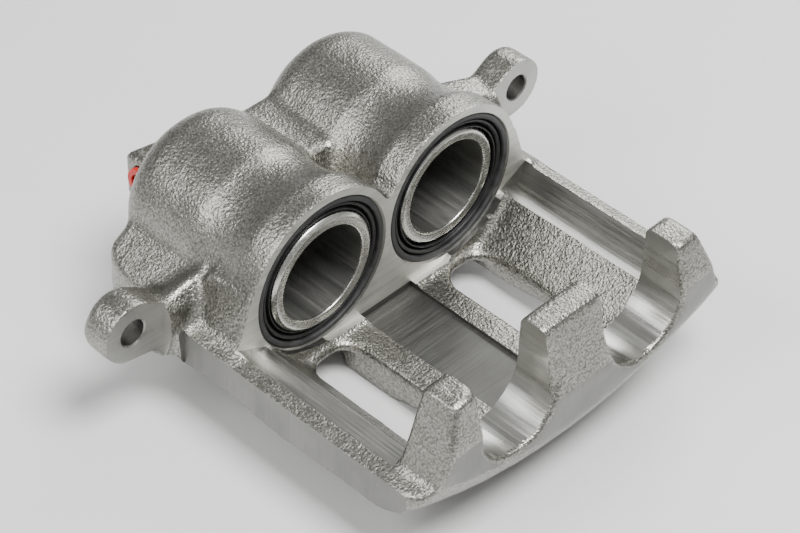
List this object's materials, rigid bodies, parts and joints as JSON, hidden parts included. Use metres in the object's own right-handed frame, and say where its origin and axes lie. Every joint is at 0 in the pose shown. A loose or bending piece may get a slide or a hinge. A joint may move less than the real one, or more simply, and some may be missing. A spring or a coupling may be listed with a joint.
{
  "type": "brake caliper",
  "caption": "Floating twin-piston disc brake caliper body: arched bridge with windows and fingers, booted steel pistons, guide ears, hose port plug and bleed screw.",
  "frame": {"origin": "middle of the two guide-bolt holes, on the milled faces of the guide ears that face the fingers", "axes": "+X across the two cylinders, -Y from the cylinders towards the fingers (the way the pistons come out), +Z from the arched bridge up through the cylinders"},
  "size_m": [0.209, 0.1825, 0.0789],
  "materials": {
    "cast_housing": "zinc plated sand casting, milled where it seats",
    "piston_steel": "ground and plated",
    "seal_rubber": "smooth",
    "boot_rubber": "satin",
    "boot_ring_rubber": "satin, over a steel core",
    "port_plug": "moulded, red",
    "plug_steel": "zinc plated",
    "screw_steel": "zinc plated",
    "cap_rubber": "satin"
  },
  "bodies": {
    "housing": {"caliper_housing": "cast_housing", "piston_seal_left": "seal_rubber", "boot_ring_left": "boot_ring_rubber", "dust_boot_left": "boot_rubber", "piston_seal_right": "seal_rubber", "boot_ring_right": "boot_ring_rubber", "dust_boot_right": "boot_rubber", "gallery_plug": "plug_steel"},
    "piston_left": {"piston_left": "piston_steel"},
    "piston_right": {"piston_right": "piston_steel"},
    "port_plug": {"hose_port_plug": "port_plug"},
    "bleed_screw": {"bleed_screw": "screw_steel"},
    "bleed_cap": {"bleed_screw_cap": "cap_rubber"}
  },
  "joints": [
    {"name": "piston_left_slide", "type": "slide", "parent": "housing", "child": "piston_left", "axis": [0, -1, 0], "range_m": [-0.0035, 0.028]},
    {"name": "piston_right_slide", "type": "slide", "parent": "housing", "child": "piston_right", "axis": [0, -1, 0], "range_m": [-0.0015, 0.028]},
    {"name": "port_plug_pull", "type": "slide", "parent": "housing", "child": "port_plug", "axis": [-1, 0, 0], "range_m": [0, 0.02]},
    {"name": "bleed_screw_turn", "type": "hinge", "parent": "housing", "child": "bleed_screw", "pos_m": [0.045, 0.0485, -0.0078], "axis": [0, 1, 0], "range_deg": [-720, 0]},
    {"name": "bleed_cap_pull", "type": "slide", "parent": "bleed_screw", "child": "bleed_cap", "axis": [0, 1, 0], "range_m": [0, 0.02]}
  ]
}
